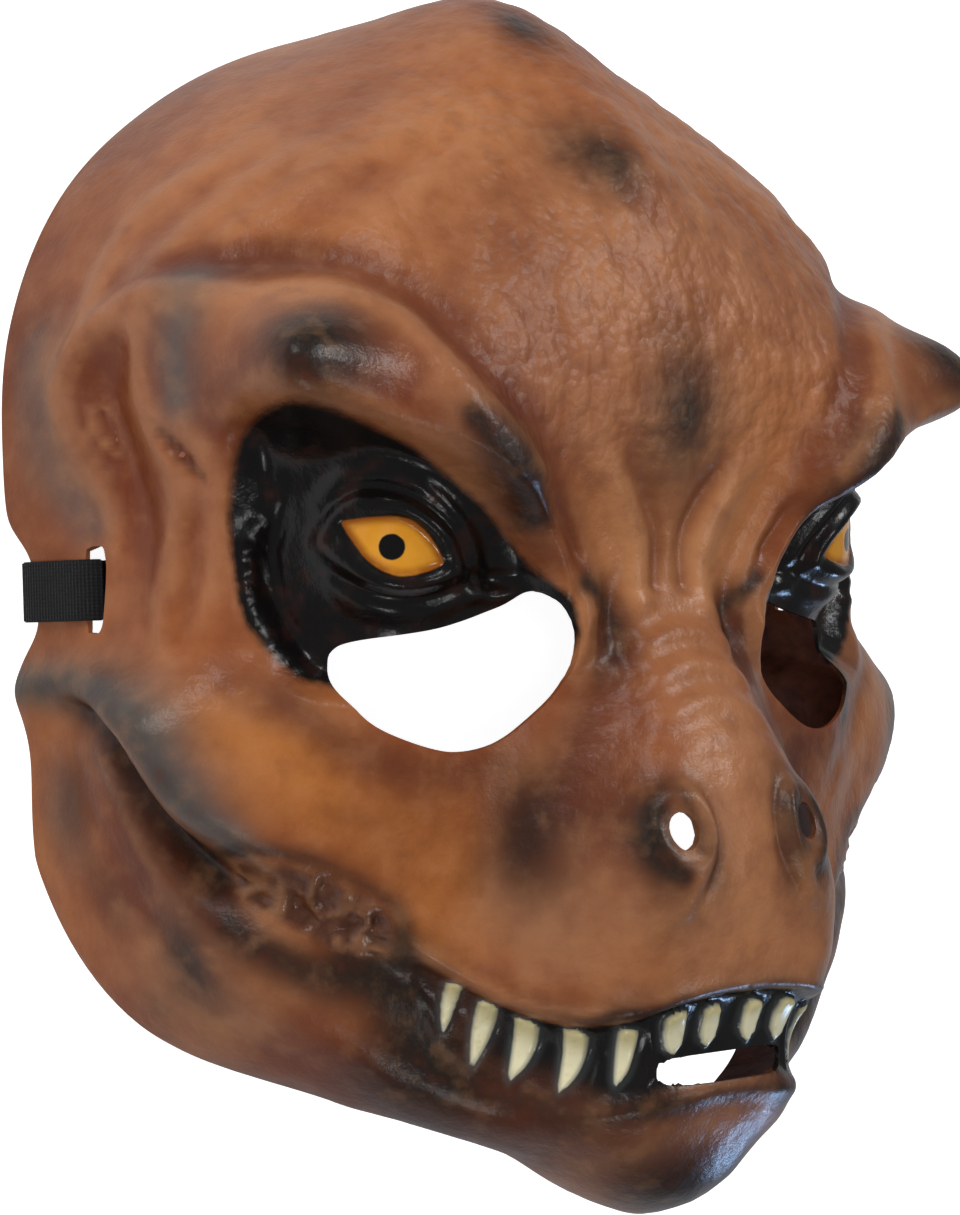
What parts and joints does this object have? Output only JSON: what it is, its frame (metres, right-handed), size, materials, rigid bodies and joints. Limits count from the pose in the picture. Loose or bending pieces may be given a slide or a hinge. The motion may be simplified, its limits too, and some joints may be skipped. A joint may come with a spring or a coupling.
{
  "type": "dinosaur face mask",
  "caption": "Moulded dinosaur face mask with brow horns, toothed snout, cut-out eye holes, nostrils and mouth slot, and an elastic strap through side slots.",
  "frame": {"origin": "centre of the bounding box in plan, at the plane that the rim rests on", "axes": "+X across the face to the wearer's left, +Y towards the crown of the head, +Z out of the face"},
  "size_m": [0.2196, 0.2643, 0.1155],
  "materials": {
    "painted_plastic": "thin moulded plastic, brown airbrushed paint with black, grey and ivory details, satin gloss",
    "black_elastic": "black woven elastic band"
  },
  "bodies": {
    "root": {"mask_shell": "painted_plastic", "elastic_strap": "black_elastic"}
  },
  "joints": []
}
